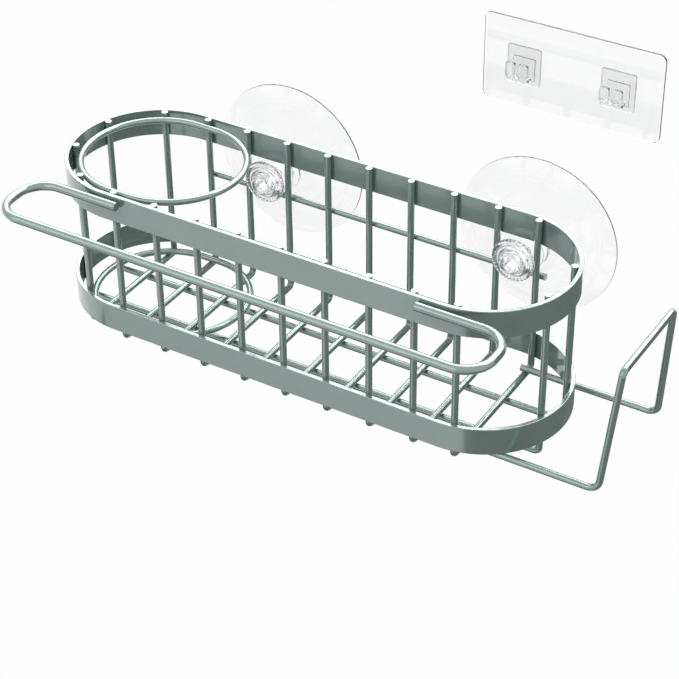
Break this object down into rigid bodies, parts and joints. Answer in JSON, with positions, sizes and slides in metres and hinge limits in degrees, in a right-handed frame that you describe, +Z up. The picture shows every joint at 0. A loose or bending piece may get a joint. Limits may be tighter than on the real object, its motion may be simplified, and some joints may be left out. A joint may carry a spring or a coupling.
{
  "type": "sponge holder",
  "caption": "Wire basket for a sink wall with a front rail, a hoop end and an end rack, held by clear suction cups with thumb nuts; a clear adhesive hook plate is the other fixing.",
  "frame": {"origin": "on the wall plane, midway between the centres of the two suction cups", "axes": "+X along the basket from the hoop end to the rack end, +Y into the wall, +Z up"},
  "size_m": [0.2779, 0.1281, 0.1586],
  "materials": {
    "sage_paint": "satin sage green coat",
    "clear_vinyl": "clear soft vinyl",
    "clear_plastic": "clear hard plastic",
    "adhesive_film": "clear double-sided film"
  },
  "bodies": {
    "wall_fixings": {"suction_cup_left": "clear_vinyl", "suction_cup_right": "clear_vinyl", "cup_stud_left": "clear_plastic", "cup_stud_right": "clear_plastic", "plate_film": "adhesive_film", "wall_plate": "clear_plastic", "plate_hook_left": "clear_plastic", "plate_hook_right": "clear_plastic"},
    "basket": {"upper_band": "sage_paint", "lower_band": "sage_paint", "cross_wire_01": "sage_paint", "cross_wire_02": "sage_paint", "cross_wire_03": "sage_paint", "cross_wire_04": "sage_paint", "cross_wire_05": "sage_paint", "cross_wire_06": "sage_paint", "cross_wire_07": "sage_paint", "cross_wire_08": "sage_paint", "cross_wire_09": "sage_paint", "cross_wire_10": "sage_paint", "long_wire_front": "sage_paint", "long_wire_back": "sage_paint", "hoop_upper": "sage_paint", "hoop_lower": "sage_paint", "front_rail": "sage_paint", "end_rack": "sage_paint", "hanger_wire": "sage_paint"},
    "left_nut": {"knob_left": "clear_plastic"},
    "right_nut": {"knob_right": "clear_plastic"}
  },
  "joints": [
    {"name": "basket_shift", "type": "slide", "parent": "wall_fixings", "child": "basket", "axis": [1, 0, 0], "range_m": [-0.0035, 0.0035]},
    {"name": "left_nut_turn", "type": "hinge", "parent": "wall_fixings", "child": "left_nut", "pos_m": [-0.06255, -0.02195, 0], "axis": [0, 1, 0], "continuous": true},
    {"name": "right_nut_turn", "type": "hinge", "parent": "wall_fixings", "child": "right_nut", "pos_m": [0.06255, -0.02246, 0], "axis": [0, 1, 0], "continuous": true}
  ]
}
